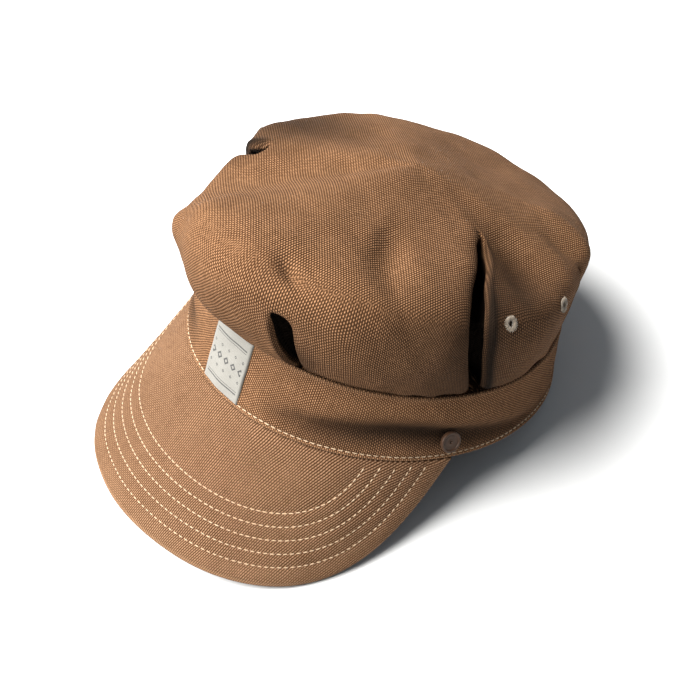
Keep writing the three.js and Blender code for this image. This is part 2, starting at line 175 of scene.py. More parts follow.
def turn_between(a, b):
    return np.mod(np.asarray(a, float) - b + 180, 360) - 180


def read(table, at, column=1):
    """Smooth reading of a table's column, by the keys in its first."""
    keys, values = table[:, 0], table[:, column]
    at = np.clip(np.asarray(at, float), keys[0], keys[-1])
    i = np.clip(np.searchsorted(keys, at) - 1, 0, len(keys) - 2)
    j = np.arange(len(keys))
    low, high = np.maximum(j - 1, 0), np.minimum(j + 1, len(keys) - 1)
    slope = (values[high] - values[low]) / (keys[high] - keys[low])
    span = keys[i + 1] - keys[i]
    u = (at - keys[i]) / span
    ends = mix(values[i], values[i + 1], u * u * (3 - 2 * u))
    return ends + slope[i] * span * u * (1 - u) ** 2 - slope[i + 1] * span * u * u * (1 - u)


PLAN_ROUND = np.concatenate([CROWN_PLAN + np.array([turn, 0, 0]) for turn in (-360, 0, 360)])


def crease_push(bearing, share):
    """How far the crease pushes the band's wall outwards."""
    side = np.abs(turn_between(bearing, 0))
    strength = np.maximum(read(BAND_CREASE, side, 2), 0)
    above = share - read(BAND_CREASE, side)
    push = 0.5 * bell((above - 0.20) / 0.18) - bell((above + 0.10) / 0.13)
    return BAND_CREASE_DEPTH * strength * push * ease(share, 0, 0.15) * (1 - ease(share, 0.8, 1))


def on_oval(bearing, half_width, half_length, shift, height):
    angle = np.radians(bearing)
    return np.stack([half_width * np.sin(angle), shift - half_length * np.cos(angle), height], -1)


def band_point(bearing, share, inset):
    bearing, share = np.broadcast_arrays(np.asarray(bearing, float), np.asarray(share, float))
    push = crease_push(bearing, share) - inset
    half_width = mix(HEM_HALF_WIDTH, SEAM_HALF_WIDTH, share) + push
    half_length = mix(HEM_HALF_LENGTH, SEAM_HALF_LENGTH, share) + push
    shift = mix(HEM_SHIFT, SEAM_SHIFT, share)
    return on_oval(bearing, half_width, half_length, shift, BAND_HEIGHT * share)


def smooth_crown(bearing, climb):
    bearing, climb = np.broadcast_arrays(np.asarray(bearing, float), np.asarray(climb, float))
    inset = BAND_WALL + CLEARANCE
    up = np.maximum(climb, 0)
    rise = read(CROWN_SECTION, up)
    reach = read(CROWN_SECTION, up, 2)
    spread = read(CROWN_SECTION, up, 3)
    round_bearing = turn_between(bearing, 0)
    overhang = FRONT_REACH * read(PLAN_ROUND, round_bearing)
    shoulder = FRONT_RISE * read(PLAN_ROUND, round_bearing, 2)
    out = (overhang + inset) * reach - inset * np.minimum(1, spread + reach)
    above = on_oval(bearing, SEAM_HALF_WIDTH * spread + out, SEAM_HALF_LENGTH * spread + out,
                    SEAM_SHIFT + DOME_SHIFT * (1 - spread),
                    BAND_HEIGHT + mix(DOME_RISE, shoulder, spread) * rise)
    tucked = band_point(bearing, 1 + np.minimum(climb, 0) * CROWN_TUCK / BAND_HEIGHT, inset)
    return np.where((climb < 0)[..., None], tucked, above)


def unit(v):
    return v / np.maximum(np.linalg.norm(v, axis=-1, keepdims=True), 1e-9)


def crown_normal(bearing, climb):
    low = np.clip(climb, 0.02, 0.98)
    around = smooth_crown(bearing + 1, low) - smooth_crown(bearing - 1, low)
    up = smooth_crown(bearing, low + 0.01) - smooth_crown(bearing, low - 0.01)
    return unit(np.cross(around, up))


def pleat_reach(pleat, climb):
    """Share of a pleat's depth on its way up."""
    return ease(climb, -0.3, 0.12) * (1 - ease(climb, pleat.top - pleat.fade, pleat.top))


def pleat_spread(pleat, climb, flat):
    """Width of a pleat on its way up, as a share; the flat cloth beside it keeps its place."""
    narrow = mix(pleat.seam_width, 1, ease(climb, 0, 0.75 * pleat.top))
    return mix(narrow, 1, ease(abs(flat), 0.25, 1.1))


def pleat_drift(pleat, climb):
    """Turn of a pleat from its place at the seam."""
    top = pleat.top
    path = np.array([
        (0, pleat.seam), (0.45 * top, pleat.low), (0.80 * top, pleat.high), (top, pleat.end),
    ])
    return (read(path, climb) - pleat.seam) * (1 - ease(climb, top, 1))


def drawn_bearing(bearing, climb):
    drawn = np.asarray(bearing, float) + 0 * climb
    for pleat in PLEATS:
        pull = bell(turn_between(bearing, pleat.seam) / PLEAT_PULL)
        drawn = drawn + pleat_drift(pleat, climb) * pull
    return drawn


def dent_at(bearing, climb):
    depth = 0
    for at, height, across, along, amount in DENTS:
        side = bell(turn_between(bearing, at) / across)
        depth = depth + amount * side * bell((climb - height) / along)
    return DENT_DEPTH * depth


def wrinkle_at(bearing, climb):
    depth = 0
    for at, height, lean, length, width, amount in WRINKLES:
        side = turn_between(bearing, at) * MM_PER_DEGREE
        rise = (climb - height) * MM_PER_CLIMB
        turn = math.radians(lean)
        along = side * math.cos(turn) + rise * math.sin(turn)
        across = rise * math.cos(turn) - side * math.sin(turn)
        depth = depth + amount * bell(along / length) * bell(across / width)
    return depth


def waves(points, seed, length, count=14):
    """Gentle unevenness of soft cloth: the sum of some plane waves about one length."""
    draw = np.random.RandomState(seed)
    total = np.zeros(points.shape[:-1])
    for _ in range(count):
        way = unit(draw.normal(size=3))
        turns = 2 * math.pi / (length * draw.uniform(0.7, 1.5))
        total += np.sin(points @ way * turns + draw.uniform(0, 6.28))
    return total / math.sqrt(count)


def layered(points, layers):
    return sum(amount * waves(points, seed, length) for amount, seed, length in layers)


def crown_point(bearing, climb, pleat_share=0.0, pleat=None, fold_side=0.0, flat=0.0):
    """Point of the crown's outer face; pleat_share is the depth in the pleat's section."""
    if pleat is not None:
        spread = pleat_spread(pleat, climb, flat)
        turn = bearing - pleat.seam + fold_side * pleat_reach(pleat, climb)
        bearing = pleat.seam + turn * spread
    drawn = drawn_bearing(bearing, climb)
    base = smooth_crown(drawn, climb)
    normal = crown_normal(drawn, climb)
    gather = GATHER * waves(base * np.array([1, 1, 0.15]), GATHER_SEED, GATHER_LENGTH)
    gather = gather * bell(np.maximum(climb, 0) / GATHER_CLIMB) * (1 - min(1, 3 * abs(pleat_share)))
    calm = ease(climb, 0, 0.06)
    dents = np.where(climb > 0, dent_at(drawn, climb) + wrinkle_at(drawn, climb), 0)
    depth = calm * (dents + layered(base, CROWN_WAVES) + gather)
    point = base - normal * np.asarray(depth)[..., None]
    if pleat is not None:
        # the fold goes straight in under an overhang
        inward = unit(normal * np.array([1, 1, 0]) + np.maximum(normal * np.array([0, 0, 1]), 0))
        fold = PLEAT_DEPTH * pleat.depth * pleat_share * pleat_reach(pleat, climb)
        point = point - inward * fold[..., None]
    return point


# meshes

TIP = math.radians(REST_TIP)


def tipped_by(angle):
    return (1, 0, 0), (0, math.cos(angle), math.sin(angle)), (0, -math.sin(angle), math.cos(angle))


TIP_TURN = np.array(tipped_by(TIP))
cad_sides = np.arange(0, 360, 5.0)[None, :]
cad_shares = np.array([0, 0.08, 0.2, 0.32, 0.44, 0.56, 0.68, 0.82, 1])[:, None]
band_low = (band_point(cad_sides, cad_shares, 0) @ TIP_TURN.T).reshape(-1, 3).min(0)
PLACE = np.array(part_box("band")[0]) * 1000 - band_low


def place(points):
    """From the band's frame in millimetres to the part's frame in metres."""
    return (np.asarray(points) @ TIP_TURN.T + PLACE) / 1000


def new_object(name, data):
    obj = bpy.data.objects.new(name, data)
    bpy.context.scene.collection.objects.link(obj)
    return obj


class Cloth:
    """Gathers points and faces with cloth coordinates, and makes the object."""

    def __init__(self):
        self.points, self.faces, self.coords, self.wear, self.count = [], [], [], [], 0

    def add(self, points, wear=0.0):
        points = np.asarray(points, float).reshape(-1, 3)
        index = np.arange(len(points)) + self.count
        self.points.append(points)
        self.wear.append(np.broadcast_to(np.asarray(wear, float).reshape(-1), (len(points),)))
        self.count += len(points)
        return index

    def face(self, index, coords, flip=False):
        way = -1 if flip else 1
        self.faces.append(np.asarray(index)[:, ::way])
        self.coords.append(np.asarray(coords, float)[:, ::way])

    def quads(self, index, coords, wrap=None, flip=False, holes=None):
        """Quads between rows of points; wrap is what the cloth coordinates gain once round."""
        cols = index.shape[1]
        left = np.arange(cols - 1 if wrap is None else cols)
        right = (left + 1) % cols
        gain = np.where((right == 0)[:, None], 0.0 if wrap is None else wrap, 0.0)
        low, high = index[:-1], index[1:]
        quads = np.stack([low[:, left], low[:, right], high[:, right], high[:, left]], -1)
        low, high = coords[:-1], coords[1:]
        corner = np.stack([
            low[:, left], low[:, right] + gain, high[:, right] + gain, high[:, left],
        ], -2)
        keep = slice(None) if holes is None else ~holes.reshape(-1)
        corner = corner.reshape(-1, 4, coords.shape[-1])
        self.face(quads.reshape(-1, 4)[keep], corner[keep], flip)

    def grid(self, points, coords, wear=0.0, **way):
        index = self.add(points, wear).reshape(points.shape[:2])
        self.quads(index, coords, **way)
        return index

    def bridge(self, low, high, coords_low, coords_high, **way):
        """Quads between two rows of points that are there already."""
        self.quads(np.stack([low, high]), np.stack([coords_low, coords_high]), **way)

    def make(self, name, material, slot, nodes):
        points = place(np.concatenate(self.points))
        mesh = bpy.data.meshes.new(name)
        mesh.vertices.add(len(points))
        mesh.vertices.foreach_set("co", points.ravel())
        sizes = np.concatenate([np.full(len(f), f.shape[1]) for f in self.faces])
        loops = np.concatenate([f.ravel() for f in self.faces])
        corner = np.concatenate([c.reshape(-1, c.shape[-1]) for c in self.coords])
        mesh.loops.add(len(loops))
        mesh.loops.foreach_set("vertex_index", loops.astype(np.int32))
        mesh.polygons.add(len(sizes))
        starts = running(sizes[:-1])
        mesh.polygons.foreach_set("loop_start", starts.astype(np.int32))
        mesh.polygons.foreach_set("use_smooth", np.ones(len(sizes), bool))
        cloth = mesh.attributes.new("cloth", "FLOAT_VECTOR", "CORNER")
        full = np.zeros((len(corner), 3))
        full[:, :corner.shape[1]] = corner
        cloth.data.foreach_set("vector", full.ravel())
        # per point: wear above 0, painted shade below 0
        wear = mesh.attributes.new("wear", "FLOAT", "POINT")
        wear.data.foreach_set("value", np.concatenate(self.wear))
        mesh.update(calc_edges=True)
        mesh.materials.append(material)
        obj = new_object(name, mesh)
        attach(obj, "root")
        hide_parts(*nodes)


def grid_normals(points):
    """Outward normals of a grid with rows up and columns all the way round."""
    around = np.roll(points, -1, 1) - np.roll(points, 1, 1)
    return unit(np.cross(around, np.gradient(points, axis=0)))


# materials

class Shader:
    """A material with a principled shader, and short calls for its nodes."""

    def __init__(self, name, roughness, **uniform):
        self.material = bpy.data.materials.new(name)
        self.material.use_nodes = True
        self.tree = self.material.node_tree
        self.bsdf = self.tree.nodes["Principled BSDF"]
        self.bsdf.inputs["Roughness"].default_value = roughness
        for key, value in uniform.items():
            self.bsdf.inputs[key.replace("_", " ")].default_value = value

    def put(self, socket, value):
        if isinstance(value, bpy.types.NodeSocket):
            self.tree.links.new(value, socket)
        elif value is not None:
            socket.default_value = value

    def math(self, operation, a, b=None, c=None):
        node = self.tree.nodes.new("ShaderNodeMath")
        node.operation = operation
        for socket, value in zip(node.inputs, (a, b, c)):
            self.put(socket, value)
        return node.outputs[0]

    # short calls for the usual operations; fit gives a * b + c
    plus = partialmethod(math, "ADD")
    minus = partialmethod(math, "SUBTRACT")
    times = partialmethod(math, "MULTIPLY")
    fit = partialmethod(math, "MULTIPLY_ADD")
    most = partialmethod(math, "MAXIMUM")
    size = partialmethod(math, "ABSOLUTE")
    below = partialmethod(math, "LESS_THAN")

    def node(self, kind, out=0, **inputs):
        node = self.tree.nodes.new("ShaderNode" + kind)
        for name, value in inputs.items():
            self.put(node.inputs[name], value)
        return node.outputs[out]

    def attribute(self, name, output):
        node = self.tree.nodes.new("ShaderNodeAttribute")
        node.attribute_name = name
        return node.outputs[output]

    def cloth(self):
        return self.split(self.attribute("cloth", "Vector"))

    def split(self, vector):
        return self.node("SeparateXYZ", slice(None), Vector=vector)

    def within(self, value):
        """The value held between 0 and 1."""
        return self.math("MINIMUM", self.most(value, 0.0), 1.0)

    def noise(self, vector, scale, detail=2.0, roughness=0.5):
        return self.node("TexNoise", Vector=vector, Scale=scale, Detail=detail, Roughness=roughness)

    def vector(self, x, y):
        return self.node("CombineXYZ", X=x, Y=y)

    def mix(self, factor, a, b):
        node = self.tree.nodes.new("ShaderNodeMix")
        node.data_type = "RGBA"
        self.put(node.inputs["Factor"], factor)
        for socket, value in zip(node.inputs[6:8], (a, b)):
            self.put(socket, (*value, 1.0) if isinstance(value, tuple) else value)
        return node.outputs[2]

    def bump(self, height, distance, strength):
        return self.node("Bump", Height=height, Distance=distance, Strength=strength)

    def place_vector(self):
        return self.node("TexCoord", "Object")

    def finish(self, color, normal=None):
        self.put(self.bsdf.inputs["Base Color"], color)
        if normal is not None:
            self.put(self.bsdf.inputs["Normal"], normal)
        return self.material


# the pitch of the cross threads against that of the lengthwise ones
CROSS_PITCH = 0.72


def weave(s, u, v, pitch_u, pitch_v, cross=0.55):
    """Height of a plain weave whose lengthwise threads stand out over the cross threads."""
    cu, cv = s.math("DIVIDE", u, pitch_u), s.math("DIVIDE", v, pitch_v)
    row = s.math("FLOOR", cu)
    over = s.math("COSINE", s.times(s.plus(cv, row), math.pi))
    over = s.fit(over, 0.5, 0.5)
    long_thread = s.size(s.math("SINE", s.times(cu, math.pi)))
    cross_thread = s.size(s.math("SINE", s.times(cv, math.pi)))
    under = s.minus(1.0, over)
    long_height = s.times(long_thread, s.fit(over, cross, 1 - cross))
    cross_height = s.times(cross_thread, s.times(under, cross))
    return s.most(long_height, cross_height)


CANVAS_DARK = (0.037, 0.0165, 0.0066)
CANVAS_LIGHT = (0.282, 0.150, 0.078)
# the visor's light tone is the crown's canvas painted darker, as painted shade
VISOR_LIGHT_WITH_PAINTED_SHADE = (0.196, 0.112, 0.065)
CANVAS_WORN = (0.25, 0.145, 0.082)
# colour that the painted shade mixes towards, in the folds, the band's crease and under the crown's
# overhang
PAINTED_SHADE_COLOR = (0.006, 0.0035, 0.002)


def canvas_material(name, pitch=0.98, cross=0.6, two_ways=False, light=CANVAS_LIGHT):
    """Duck canvas. Two ways: the top's threads run straight in plan, the wall's round and up."""
    s = Shader(name, 0.95, Specular_IOR_Level=0.05)
    u, v, wall = s.cloth()
    if two_ways:
        x, y, z = s.split(s.place_vector())
        x = s.times(x, 1000.0)
        y = s.times(y, 1000 * math.cos(TIP))
        y = s.minus(y, s.times(z, 1000 * math.sin(TIP)))
        faces = [(x, y), (u, v)]
    else:
        faces = [(u, v)]
    heights, slubs = [], []
    for u, v in faces:
        # the cloth's threads wander a little
        where = s.vector(s.times(u, 0.05), s.times(v, 0.05))
        wander = s.fit(s.noise(where, 1.0, 1.0), 2.4, -1.2)
        u2, v2 = s.plus(u, wander), s.minus(v, wander)
        heights.append(weave(s, u2, v2, pitch, pitch * CROSS_PITCH, cross))
        along = s.vector(s.times(u2, 1 / pitch), s.times(v2, 0.07))
        crosswise = s.vector(s.times(u2, 0.07), s.times(v2, 1 / pitch))
        slubs.append(s.plus(s.noise(along, 1.3, 1.0), s.noise(crosswise, 1.3, 1.0)))
    height, slub = heights[0], slubs[0]
    if two_ways:
        height, slub = (s.fit(wall, s.minus(b, a), a) for a, b in (heights, slubs))
    blotch = s.noise(s.place_vector(), 22.0, 3.0, 0.6)
    fuzz = s.noise(s.place_vector(), 900.0, 2.0, 0.6)
    # the low parts of the weave go dark: partly the threads' own colour, partly painted shade in
    # the gaps between threads
    tone = s.fit(height, 1.55, -0.58)
    for layer, amount, middle in ((slub, 0.40, 0.40), (blotch, 0.30, 0.15), (fuzz, 0.20, 0.10)):
        tone = s.fit(layer, amount, s.minus(tone, middle))
    tone = s.within(tone)
    color = s.mix(tone, CANVAS_DARK, light)
    # the attribute holds wear above 0, lighter on the thread crests, and painted shade below 0,
    # mixed towards the painted shade colour
    wear = s.attribute("wear", "Fac")
    crests = s.fit(height, 0.5, 0.15)
    color = s.mix(s.times(s.most(wear, 0.0), crests), color, CANVAS_WORN)
    painted_shade = s.most(s.times(wear, -1.0), 0.0)
    color = s.mix(painted_shade, color, PAINTED_SHADE_COLOR)
    relief = s.fit(slub, 0.25, height)
    relief = s.fit(fuzz, 0.25, relief)
    return s.finish(color, s.bump(relief, 0.0006, 0.8))


def thread_material(name, dark, light):
    s = Shader(name, 0.75, Sheen_Weight=0.25, Sheen_Roughness=0.4, Specular_IOR_Level=0.35)
    u, v, _ = s.cloth()
    ply = s.math("SINE", s.fit(u, 5.2, s.times(v, 6.28)))
    fleck = s.noise(s.place_vector(), 1500.0, 2.0)
    tone = s.fit(ply, 0.12, s.fit(fleck, 0.6, 0.30))
    tone = s.within(tone)
    color = s.mix(tone, dark, light)
    return s.finish(color, s.bump(ply, 0.00012, 0.7))


def label_material(half_width, height):
    s = Shader("woven_label", 0.7, Sheen_Weight=0.1, Specular_IOR_Level=0.3)
    u, v, _ = s.cloth()
    rib = weave(s, u, v, 0.42, 0.5)
    fleck = s.noise(s.place_vector(), 1300.0, 2.0)
    tone = s.fit(rib, 0.5, s.times(fleck, 0.5))
    pale = s.mix(tone, (0.085, 0.081, 0.071), (0.160, 0.155, 0.140))

    def near(value, at, half):
        return s.below(s.size(s.minus(value, at)), half)

    mark = 0.0
    for at, half in ((0.14, 0.35), (0.18, 0.15), (0.86, 0.35), (0.82, 0.15)):
        mark = s.most(mark, near(v, at * height, half))
    step = half_width / 2.5
    cell = s.math("FRACT", s.plus(s.math("DIVIDE", u, step), 10.5))
    cell = s.minus(cell, 0.5)
    for at, size in ((0.50, 2.1), (0.335, 0.9), (0.665, 0.9)):
        rise = s.size(s.minus(v, at * height))
        run = s.times(s.size(cell), step)
        body = s.below(s.plus(run, rise), size)
        core = s.below(s.plus(run, rise), size * 0.45)
        mark = s.most(mark, s.minus(body, core))
    inside = s.below(s.size(u), half_width - 2.2)
    mark = s.times(mark, inside)
    color = s.mix(s.times(mark, 0.93), pale, (0.010, 0.0095, 0.010))
    return s.finish(color, s.bump(s.fit(mark, 0.3, rib), 0.00014, 0.7))


def resin_material():
    s = Shader("button_resin", 0.5, Specular_IOR_Level=0.15)
    cloud = s.noise(s.place_vector(), 260.0, 4.0, 0.6)
    grain = s.noise(s.place_vector(), 2600.0, 2.0)
    color = s.mix(cloud, (0.018, 0.009, 0.005), (0.044, 0.022, 0.012))
    s.put(s.bsdf.inputs["Roughness"], s.fit(grain, 0.25, 0.32))
    return s.finish(color, s.bump(grain, 0.00005, 0.5))


def floor_material():
    s = Shader("studio_floor", 0.85, Specular_IOR_Level=0.1)
    grain = s.noise(s.place_vector(), 60.0, 2.0)
    return s.finish(s.mix(grain, (0.43, 0.435, 0.44), (0.45, 0.452, 0.455)))


CROWN_CANVAS = canvas_material("canvas_crown", two_ways=True)
BAND_CANVAS = canvas_material("canvas_band")
VISOR_CANVAS = canvas_material("canvas_visor", pitch=1.15, cross=0.35, light=VISOR_LIGHT_WITH_PAINTED_SHADE)
THREAD = thread_material("thread", (0.16, 0.095, 0.052), (0.36, 0.265, 0.17))
# the eyelets' thread is greyer than the stitching's, and painted darker as painted shade
EYELET_THREAD_WITH_PAINTED_SHADE = thread_material("eyelet_thread_painted_shade", (0.085, 0.064, 0.045), (0.18, 0.147, 0.11))
RESIN = resin_material()

# crown


def smooth_line(points, steps):
    """Catmull-Rom curve through points, with that many steps in each span."""
    points = np.asarray(points, float)
    padded = np.concatenate([[2 * points[0] - points[1]], points, [2 * points[-1] - points[-2]]])
    out = []
    for i in range(len(points) - 1):
        p0, p1, p2, p3 = padded[i:i + 4]
        for k in range(steps):
            t = k / steps
            out.append(0.5 * (2 * p1 + (p2 - p0) * t + (2 * p0 - 5 * p1 + 4 * p2 - p3) * t * t
                              + (3 * p1 - p0 - 3 * p2 + p3) * t ** 3))
    out.append(points[-1])
    return np.array(out)


# A column of the crown's cloth: its pleat or None, depth and sideways fold in the pleat's
# section, place across the flat section, and thread, the cloth coordinate round the crown
Column = namedtuple("Column", "bearing pleat depth fold_side flat thread")
# the part of a pleat's section that lies deep in the fold, where its threads close up
DEEP_FROM, DEEP_TO = -0.15, 0.11


def crown_columns(spacing):
    degrees = 180 / (math.pi * SEAM_HALF_LENGTH)
    section = smooth_line(PLEAT_SECTION, 2)
    groups = []
    for pleat in sorted(PLEATS):
        flats, sides, depths = (section if pleat.hand > 0 else section[::-1]).T
        scale = pleat.hand * pleat.width * PLEAT_WIDTH * degrees
        bearings = pleat.seam + flats * scale * np.where(flats < 0, pleat.soft, 1)
        fold_sides = (sides - flats) * scale
        # the threads keep their pitch over the lip and the soft side, and close up in the fold
        across = (bearings + fold_sides) * ARC_PER_DEGREE
        step = np.hypot(np.diff(across), np.diff(depths) * PLEAT_DEPTH * pleat.depth)
        run = running(step)
        ahead, behind = across[0] + run, across[-1] - run[-1] + run
        deep = np.nonzero((flats > DEEP_FROM) & (flats < DEEP_TO))[0]
        first, last = deep[0] - 1, deep[-1] + 1
        threads = np.where(np.arange(len(flats)) <= first, ahead, behind)
        threads[first:last + 1] = np.linspace(threads[first], threads[last], last - first + 1)
        groups.append([Column(bearing, pleat, depth, fold_side, flat, thread)
                       for bearing, depth, fold_side, flat, thread
                       in zip(bearings, depths, fold_sides, flats, threads)])
    columns = []
    for group, following in zip(groups, groups[1:] + groups[:1]):
        columns += group
        gap = (following[0].bearing - group[-1].bearing) % 360
        steps = max(1, math.ceil(gap / spacing))
        for i in range(1, steps):
            bearing = group[-1].bearing + gap * i / steps
            columns.append(Column(bearing, None, 0.0, 0.0, 0.0, bearing * ARC_PER_DEGREE))
    return columns


# how far the cloth is worn along a lip, and how strong the painted shade is beside it, in the
# hollow on a drawn-out soft side, under the overhang and behind the side pleat
LIP_WORN, LIP_SHADE, HOLLOW_SHADE, OVERHANG_SHADE, SIDE_SHADE = 0.1, 0.45, 0.62, 0.64, 0.60


def fold_wear(column, climb):
    """Painted shade deep in the fold, a little wear along the lip, and painted shade beside both.
    """
    pleat, flat = column.pleat, column.flat
    # depths over which the fold is painted dark, as painted shade
    dark = (0.50, 1.25) if pleat.soft > 1 and flat < 0 else (0.20, 0.80)
    wear = LIP_WORN * bell((flat - 0.19) / 0.03) - ease(column.depth, *dark) * (flat < 0.16)
    wear = wear - LIP_SHADE * bell((flat - 0.30) / 0.16)
    # painted shade in the hollow on a drawn-out soft side, low on the crown
    if pleat.soft > 1:
        hollow = HOLLOW_SHADE * bell((flat + 0.42) / 0.42)
        wear = wear - hollow * (1 - ease(climb, 0.16, 0.36))
    return wear * pleat_reach(pleat, climb)


def painted_side_shade(bearing, climb):
    """Painted shade of the sides under the overhang, and in the hollow behind the side pleat."""
    side = abs(turn_between(bearing, 0))
    overhang = OVERHANG_SHADE * bell((side - 74) / 26) * (1 - ease(climb, 0.42, 0.78))
    return overhang * (climb > 0), SIDE_SHADE * bell((side - 96) / 16) * bell((climb - 0.66) / 0.18)


columns = crown_columns(1.35)
climbs = np.concatenate([
    np.linspace(-1, 0, 5)[:-1], np.linspace(0, 0.12, 13)[:-1], np.linspace(0.12, 0.70, 56)[:-1],
    np.linspace(0.70, 0.975, 22),
])
outer = np.zeros((len(climbs), len(columns), 3))
reached = np.zeros((len(climbs), len(columns)))
in_pleat = np.zeros((len(climbs), len(columns)))
crown_wear = np.zeros((len(climbs), len(columns)))
for j, column in enumerate(columns):
    outer[:, j] = crown_point(column.bearing, climbs, column.depth, column.pleat,
                              column.fold_side, column.flat)
    if column.pleat is not None:
        reached[:, j] = pleat_reach(column.pleat, climbs)
        in_pleat[:, j] = min(1, 4 * abs(column.depth)) * reached[:, j]
        crown_wear[:, j] = fold_wear(column, climbs)
    # painted shade under the overhang and behind the side pleat
    for painted_shade in painted_side_shade(column.bearing, climbs):
        crown_wear[:, j] -= painted_shade
crown_wear = np.maximum(crown_wear, -1)

thickness = mix(CROWN_WALL, FOLD_WALL, in_pleat)[..., None]
inner = outer - grid_normals(outer) * thickness

# Cloth coordinates: round and up the walls, and the share of the walls' cloth against the top's
step_up = np.linalg.norm(np.diff(outer, axis=0), axis=-1).mean(1)
arc_up = running(step_up)
straight = np.array([column.bearing for column in columns]) * ARC_PER_DEGREE
threads = np.array([column.thread for column in columns])
coords = np.stack(np.broadcast_arrays(
    mix(straight[None, :], threads[None, :], reached),
    arc_up[:, None],
    1 - ease(climbs, 0.46, 0.60)[:, None],
), -1)


def eyelet_seat(bearing, climb):
    """Place of an eyelet and the way it faces."""
    def at(turn, rise):
        return crown_point(np.array(bearing + turn), np.array(climb + rise))
    return at(0, 0), unit(np.cross(at(2, 0) - at(-2, 0), at(0, 0.02) - at(0, -0.02)))


# cells of the crown's mesh with their middles this near an eyelet's are left open
HOLE_RADIUS = 1.7
seats = {}
holes = np.zeros((len(climbs) - 1, len(columns)), bool)
middles = (outer[:-1] + outer[1:] + np.roll(outer, -1, 1)[:-1] + np.roll(outer, -1, 1)[1:]) / 4
for spot, bearing, climb in EYELETS:
    seat = eyelet_seat(bearing, climb)
    seats[f"eyelet_{spot}"] = seat
    holes |= np.linalg.norm(middles - seat[0], axis=-1) < HOLE_RADIUS

crown = Cloth()
round_gain = (360 * ARC_PER_DEGREE, 0, 0)
out_index = crown.grid(outer, coords, wear=crown_wear, wrap=round_gain, holes=holes)
# the inner face takes only the painted shade, not the wear
in_index = crown.grid(inner, coords, wear=np.minimum(crown_wear, 0), wrap=round_gain,
                      flip=True, holes=holes)
top = smooth_crown(np.array(0.0), np.array(1.0))
top_out = crown.add(top)[0]
top_in = crown.add(top - np.array([0, 0, CROWN_WALL]))[0]
count = len(columns)
ring = np.arange(count)
after = (ring + 1) % count
for rim, middle, first, second in (
    (out_index[-1], top_out, ring, after), (in_index[-1], top_in, after, ring),
):
    crown.face(np.stack([rim[first], rim[second], np.full(count, middle)], -1),
               np.stack([coords[-1][first], coords[-1][second], coords[-1]], -2))
crown.bridge(in_index[0], out_index[0], coords[0], coords[0], wrap=(0, 0, 0))

# Walls of the vent holes, between the two faces of the cloth
cell_edges = []
for i, j in zip(*np.nonzero(holes)):
    following = (j + 1) % count
    around = [(i, j), (i, following), (i + 1, following), (i + 1, j)]
    cell_edges += zip(around, around[1:] + around[:1])
hole_edges = [(a, b) for a, b in cell_edges if (b, a) not in cell_edges]
crown.face([[out_index[a], out_index[b], in_index[b], in_index[a]] for a, b in hole_edges],
           [[coords[a], coords[b], coords[b], coords[a]] for a, b in hole_edges])
crown.make("crown_cloth", CROWN_CANVAS, "canvas", ["crown"])

# band

# Row of stitching along the hem: its height, and how deep it lies, in millimetres
HEM_ROW = 2.6
HEM_ROW_SINK = 0.30
# heights of the rounded hem and of the fold along the top
HEM_ROUND = 0.9
TOP_ROUND = 0.8


def band_normal(bearing, share):
    return unit(band_point(bearing, share, -1.0) - band_point(bearing, share, 0.0))


def band_skin(bearing, share, inset):
    base = band_point(bearing, share, inset - (CREASE_DEEPER - 1) * crease_push(bearing, share))
    height = share * BAND_HEIGHT
    normal = unit(band_point(bearing, share, inset - 1) - base)
    soft = layered(base, BAND_WAVES) * ease(height, 0, 5)
    soft = soft * (1 - ease(height, BAND_HEIGHT - 3, BAND_HEIGHT))
    return base + normal * soft[..., None]


band_sides = 420
band_bearings = np.linspace(-180, 180, band_sides, endpoint=False)[None, :]
face_heights = np.concatenate([
    np.array([HEM_ROUND, 1.5, 2.0, 2.3, HEM_ROW, 2.9, 3.3, 4.0, 5.0]),
    np.linspace(6.2, BAND_HEIGHT - 2.2, 30),
    np.array([BAND_HEIGHT - 1.4, BAND_HEIGHT - TOP_ROUND]),
])
# painted shade in the band's crease: the most that it mixes towards the painted shade colour
CREASE_SHADE = 0.92
rows, row_coords, row_wear = [], [], []
round_length = math.pi * (HEM_HALF_WIDTH + HEM_HALF_LENGTH)


def band_row(height, inset, arc, wear):
    """A row of points round the band; its outer face gets painted shade in the crease."""
    share = np.full((1, band_sides), height / BAND_HEIGHT)
    rows.append(band_skin(band_bearings, share, np.full((1, band_sides), inset))[0])
    run = band_bearings[0] / 360 * round_length
    row_coords.append(np.stack([run, np.full(band_sides, arc)], -1))
    side = np.abs(turn_between(band_bearings[0], 0))
    above = share[0] - read(BAND_CREASE, side)
    strength = np.maximum(read(BAND_CREASE, side, 2), 0)
    painted_shade = CREASE_SHADE * strength * bell((above + 0.13) / 0.21)
    row_wear.append(wear - painted_shade * (inset < BAND_WALL / 2))


# up the outer face, over the top fold, down the inner face and round the hem
for height in face_heights:
    groove = 0.38 * bell((height - HEM_ROW) / 0.55)
    swell = -0.25 * bell((height - 1.0) / 0.7) - 0.20 * bell((height - 4.6) / 1.6)
    worn = 0.9 * bell((height - 0.4) / 1.2) + 0.5 * bell((BAND_HEIGHT - height) / 1.0)
    band_row(height, groove + swell, height, worn)
for turn in (30, 60, 90, 120, 150):
    angle = math.radians(turn)
    height = BAND_HEIGHT - TOP_ROUND + TOP_ROUND * math.sin(angle)
    band_row(height, BAND_WALL / 2 * (1 - math.cos(angle)), BAND_HEIGHT + turn / 90, 0.55)
for height in face_heights[::-1][::2]:
    band_row(height, BAND_WALL, 2 * BAND_HEIGHT - height + 3, 0.0)
for turn in (30, 60, 90, 120, 150):
    angle = math.radians(turn)
    height = HEM_ROUND - HEM_ROUND * math.sin(angle)
    band_row(height, BAND_WALL / 2 * (1 + math.cos(angle)), -turn / 60, 0.6)
band_points, band_coords = np.stack(rows), np.stack(row_coords)
band = Cloth()
